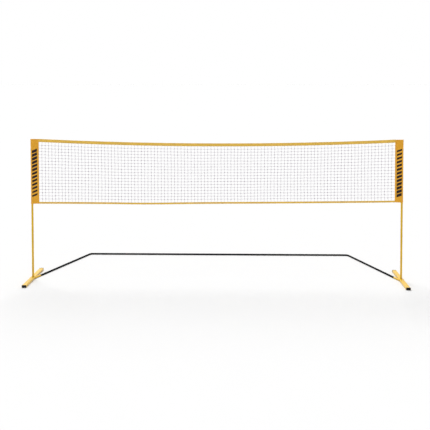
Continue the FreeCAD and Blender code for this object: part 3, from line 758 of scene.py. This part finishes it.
def sleeve_section():
    """Centre line of the pocket, from its sewn edge round the pole and back: (inward, y)."""
    radius = ROUND_RADIUS - CLOTH / 2
    touch = math.acos(radius / SLEEVE_SEAM)
    turn = np.linspace(2 * math.pi - touch, touch, 25)
    around = np.stack([radius * np.cos(turn), radius * np.sin(turn)], -1)
    slope = np.linspace(0, 1, 8)[1:-1]
    (front_x, front_y), (back_x, back_y) = around[0], around[-1]
    front_inward = SLEEVE_SEAM + (front_x - SLEEVE_SEAM) * slope
    front = np.stack([front_inward, -SEAM_GAP + (front_y + SEAM_GAP) * slope], -1)
    back_inward = back_x + (SLEEVE_SEAM - back_x) * slope
    back = np.stack([back_inward, back_y + (SEAM_GAP - back_y) * slope], -1)
    flat = np.linspace(POLE_TO_EDGE, SLEEVE_SEAM, 9)
    flat_front = np.stack([flat, np.full(len(flat), -SEAM_GAP)], -1)
    flat_back = np.stack([flat[::-1], np.full(len(flat), SEAM_GAP)], -1)
    return np.concatenate([flat_front, front, around, back, flat_back])


def sleeve_foot(side):
    """The height of a sleeve's lower edge."""
    return RIGHT_FOOT if side > 0 else LEFT_FOOT


def sleeve_heights(side):
    """Stations up the sleeve, closer together where the top closes."""
    closes_from = SLEEVE_HIGH.z - CLOSING
    body = np.linspace(sleeve_foot(side), closes_from, SLEEVE_STATIONS)
    bend = closes_from + (CLOSING - CLOTH) * np.sin(np.linspace(0, math.pi / 2, 9)[1:])
    return np.concatenate([body, bend])


def sleeve_lines(side):
    """Grid of a sleeve's centre points: creased beside the pole, drawn together at the top."""
    section = sleeve_section()
    heights = sleeve_heights(side)
    lines = np.zeros((len(heights), len(section), 3))
    for i, z in enumerate(heights):
        up = max(0.0, (z - (SLEEVE_HIGH.z - CLOSING)) / (CLOSING - CLOTH))
        narrow = (1 - min(1.0, up) ** 3) ** (1 / 3)
        sway = FLAP_SWAY * smooth_noise(0, 0, z, 5.0, 12.0 + side)
        for k, (inward, y) in enumerate(section):
            loose = min(1.0, max(0.0, inward / LOOSE_FROM))
            layer = math.copysign(1.0, y)
            fine = smooth_noise(side * inward, 0.03 * layer, z, 26.0, 3.0 + side)
            broad = smooth_noise(0.4 * inward, 0.02 * layer, z, 7.0, 6.0 + side)
            crease = FINE_CREASE * fine + BROAD_CREASE * broad
            swell = SLEEVE_SWELL * abs(smooth_noise(inward, 0.04 * layer, z, 60.0, 1.5))
            closed = max(abs(y) * narrow, min(abs(y), CLOSED_GAP))
            flap = max(0, inward / POLE_TO_EDGE)
            out = layer * closed + loose * crease + sway * flap**2 + layer * swell * loose
            lines[i, k] = (side * (POLE.x - inward), NET_Y + out, z)
    return lines if side < 0 else lines[:, ::-1]


def sleeve_thickness(heights):
    """One layer of cloth between the hems and a thicker one at both hems."""
    between_hems = (heights > heights[0] + BOTTOM_HEM) & (heights < SLEEVE_HIGH.z - TOP_HEM)
    return np.where(between_hems, CLOTH, CLOTH + HEM_EXTRA)[:, None]


def sleeve_stitches(name, lines, thickness):
    """Rows of stitches up both layers of the sewn edge, and round the sleeve at its hems."""
    heights = lines[:, 0, 2]
    surface, normals = outer_face(lines, thickness)
    end = np.searchsorted(heights, SLEEVE_HIGH.z - SIDE_STITCHES_END)
    last = lines.shape[1] - 1
    rows = [stitch_line(surface[1:end, k], normals[1:end, k]) for k in (1, 3, last - 3, last - 1)]
    bottom_row = heights[0] + BOTTOM_HEM - HEM_STITCHES
    top_row = SLEEVE_HIGH.z - TOP_HEM + HEM_STITCHES
    for z in (bottom_row, top_row, SLEEVE_HIGH.z - TOP_STITCHES):
        i = np.searchsorted(heights, z)
        rows.append(stitch_line(surface[i], normals[i]))
    return build_stitches(name + "_stitches", rows)


def build_sleeve(name, side):
    """The sleeve over one pole; side is -1 for the left one and 1 for the right one."""
    lines = sleeve_lines(side)
    thickness = sleeve_thickness(lines[:, 0, 2])
    sleeve = cloth_shell(name + "_cloth", lines, thickness, "sleeve_fabric")
    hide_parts(name)
    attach(sleeve, "net")
    stitches = sleeve_stitches(name, lines, thickness)


# ---------------------------------------------------------------- welds


def node_points(node):
    """The corner points of a CAD node as an array."""
    mesh = frame["nodes"][node].data
    points = np.empty(3 * len(mesh.vertices), dtype=np.float32)
    mesh.vertices.foreach_get("co", points)
    return points.reshape(-1, 3)


def weld_outline(side):
    """Where the slanted stub meets the foot bar's flat side: the middle and reach of its ellipse."""
    face = min(abs(corner.x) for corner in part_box(side + "_foot_bar"))
    points = node_points(side + "_stub_socket")
    on_face = points[np.abs(np.abs(points[:, 0]) - face) < 0.1 * MM]
    low, high = on_face.min(0), on_face.max(0)
    return (low + high) / 2, (high - low) / 2


def build_stub_weld(side):
    """A rippled weld bead over the top and both sides of the stub's joint with its foot bar."""
    centre, reach = weld_outline(side)
    start = math.asin((WELD_LOWEST - centre[2]) / reach[2])
    turn = np.linspace(start, math.pi - start, WELD_STEPS)
    path_y = centre[1] + reach[1] * np.cos(turn)
    path_z = centre[2] + reach[2] * np.sin(turn)
    path = np.stack([np.full(WELD_STEPS, centre[0]), path_y, path_z], -1)
    run = np.concatenate([[0], np.cumsum(np.linalg.norm(np.diff(path, axis=0), axis=1))])
    ends = np.clip(np.minimum(run, run[-1] - run) / (2 * WELD_RADIUS), 0.25, 1)
    radius = WELD_RADIUS * np.sqrt(ends) * (1 + WELD_RISE * np.cos(2 * math.pi * run / WELD_RIPPLE))
    outward = unit(path - centre)
    across = np.tile([1.0, 0.0, 0.0], (WELD_STEPS, 1))
    angle = np.arange(WELD_SIDES) * 2 * math.pi / WELD_SIDES
    cos, sin = np.cos(angle)[None, :, None], np.sin(angle)[None, :, None]
    ring = cos * across[:, None] + sin * outward[:, None]
    points = (path[:, None] + radius[:, None, None] * ring).reshape(-1, 3)
    around = np.arange(WELD_SIDES)
    beside = np.roll(around, -1)
    rings = np.arange(WELD_STEPS - 1)[:, None] * WELD_SIDES
    following = rings + WELD_SIDES
    walls = np.stack([rings + around, rings + beside, following + beside, following + around], -1)
    end_faces = [around[::-1].tolist(), (around + (WELD_STEPS - 1) * WELD_SIDES).tolist()]
    faces = walls.reshape(-1, 4).tolist() + end_faces
    bead = new_piece(side + "_stub_weld", points, faces, "yellow_paint")
    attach(bead, "stand")


# ---------------------------------------------------------------- springs


def build_spring(side):
    """A flat-shaded copy of the V spring under a button; its legs don't move with the button."""
    node = side + "_snap_spring"
    points = node_points(node)
    faces = [list(face.vertices) for face in frame["nodes"][node].data.polygons]
    name = side + "_v_spring"
    spring = new_piece(name, points, faces, "spring_steel", flat=True)
    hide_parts(node)
    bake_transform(spring)


# ---------------------------------------------------------------- stage


FLOOR_HALF = 150.0
FLOOR_BELOW = 0.2 * MM
FLOOR_TONES = (0.733, 0.741)


def build_stage():
    """A plain pale floor that reaches past the edge of every view."""
    floor = bpy.data.meshes.new("floor")
    corners = [(x * FLOOR_HALF, y * FLOOR_HALF, 0) for x, y in ((-1, -1), (1, -1), (1, 1), (-1, 1))]
    floor.from_pydata(corners, [], [(0, 1, 2, 3)])
    n = Nodes("pale_floor")
    darker, lighter = ((tone, tone, tone, 1.0) for tone in FLOOR_TONES)
    tone = n.mix(n.noise(2.0), darker, lighter)
    floor.materials.append(n.finish(tone, Roughness=0.9, Specular_IOR_Level=0.0))
    stage = bpy.data.objects.new("floor", floor)
    bpy.context.scene.collection.objects.link(stage)
    stage.location.z = -FLOOR_BELOW


# Strength of the even light from the front and from behind, and the key light
FRONT_LIGHT = 0.55
BACK_LIGHT = 0.84
KEY_LIGHT = 2.7
KEY_SOFTNESS = 35.0  # degrees
KEY_DIRECTION = (0.20, -0.56, -0.80)


def build_light():
    """A white studio: even light, stronger from behind, and a soft key light from behind, left.

    The camera sees the backdrop plain white.
    """
    world = bpy.data.worlds.new("studio")
    bpy.context.scene.world = world
    world.use_nodes = True
    tree = world.node_tree
    place = tree.nodes.new("ShaderNodeTexCoord")
    split = tree.nodes.new("ShaderNodeSeparateXYZ")
    level = tree.nodes.new("ShaderNodeMapRange")
    level.interpolation_type = "SMOOTHSTEP"
    levels = {"From Min": -0.5, "From Max": 0.8, "To Min": FRONT_LIGHT, "To Max": BACK_LIGHT}
    for name, value in levels.items():
        level.inputs[name].default_value = value
    studio = tree.nodes["Background"]
    studio.inputs["Color"].default_value = (1, 1, 1, 1)
    backdrop = tree.nodes.new("ShaderNodeBackground")
    backdrop.inputs["Color"].default_value = (1, 1, 1, 1)
    backdrop.inputs["Strength"].default_value = 1.0
    rays = tree.nodes.new("ShaderNodeLightPath")
    both = tree.nodes.new("ShaderNodeMixShader")
    for source, target in (
        (place.outputs["Generated"], split.inputs["Vector"]),
        (split.outputs["Y"], level.inputs["Value"]),
        (level.outputs["Result"], studio.inputs["Strength"]),
        (rays.outputs["Is Camera Ray"], both.inputs["Fac"]),
        (studio.outputs["Background"], both.inputs[1]),
        (backdrop.outputs["Background"], both.inputs[2]),
        (both.outputs["Shader"], tree.nodes["World Output"].inputs["Surface"]),
    ):
        tree.links.new(source, target)

    key = bpy.data.lights.new("key", "SUN")
    key.energy = KEY_LIGHT
    key.angle = math.radians(KEY_SOFTNESS)
    lamp = bpy.data.objects.new("key", key)
    lamp.rotation_euler = Vector(KEY_DIRECTION).to_track_quat("-Z", "Y").to_euler()
    bpy.context.scene.collection.objects.link(lamp)


# The photo's viewpoint: place in metres, heading left of +Y and dip in degrees, lens in mm
CAMERA_PLACE = (0.234, -7.247, 2.244)
CAMERA_HEADING = 1.11
CAMERA_DIP = 2.0
CAMERA_LENS = 53.18
CAMERA_SENSOR = 36.0
CAMERA_SHIFT = (-0.0236, -0.2724)


def build_camera():
    """The camera at the photo's viewing angle."""
    camera = bpy.data.cameras.new("camera")
    camera.lens = CAMERA_LENS
    camera.sensor_width = CAMERA_SENSOR
    camera.shift_x, camera.shift_y = CAMERA_SHIFT
    holder = bpy.data.objects.new("camera", camera)
    holder.location = CAMERA_PLACE
    holder.rotation_euler = (math.radians(90 - CAMERA_DIP), 0, math.radians(CAMERA_HEADING))
    bpy.context.scene.collection.objects.link(holder)
    bpy.context.scene.camera = holder
    bpy.context.scene.view_settings.view_transform = "Standard"


dress_cad_nodes()
build_camera()
build_light()
build_stage()
build_netting()
build_top_tape()
build_bottom_tape()
build_sleeve("left_sleeve", -1)
build_sleeve("right_sleeve", 1)
build_stub_weld("left")
build_stub_weld("right")
build_spring("left")
build_spring("right")
